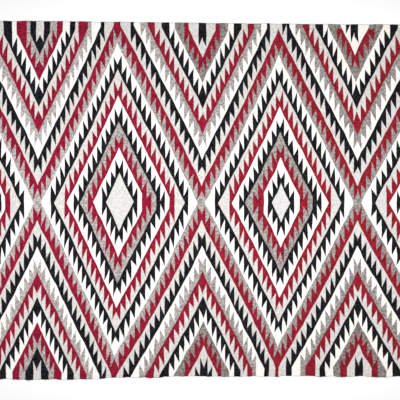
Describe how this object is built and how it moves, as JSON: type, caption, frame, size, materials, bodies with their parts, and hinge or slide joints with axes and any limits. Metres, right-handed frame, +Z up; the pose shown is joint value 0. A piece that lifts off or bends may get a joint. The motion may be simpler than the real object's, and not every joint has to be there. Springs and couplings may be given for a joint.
{
  "type": "eye dazzler rug",
  "caption": "Flat wool tapestry rug of nested serrated diamonds in crimson, black, greys and white, with rounded selvedges and plain ends.",
  "frame": {"origin": "on the floor under the middle of the rug", "axes": "+X along the warp, which is the rug's length; +Y across it, to the far selvedge; +Z up out of its face"},
  "size_m": [1.804, 1.3452, 0.0046],
  "materials": {
    "wool": "matt, weft-faced tapestry weave"
  },
  "bodies": {
    "root": {"rug": "wool"}
  },
  "joints": []
}
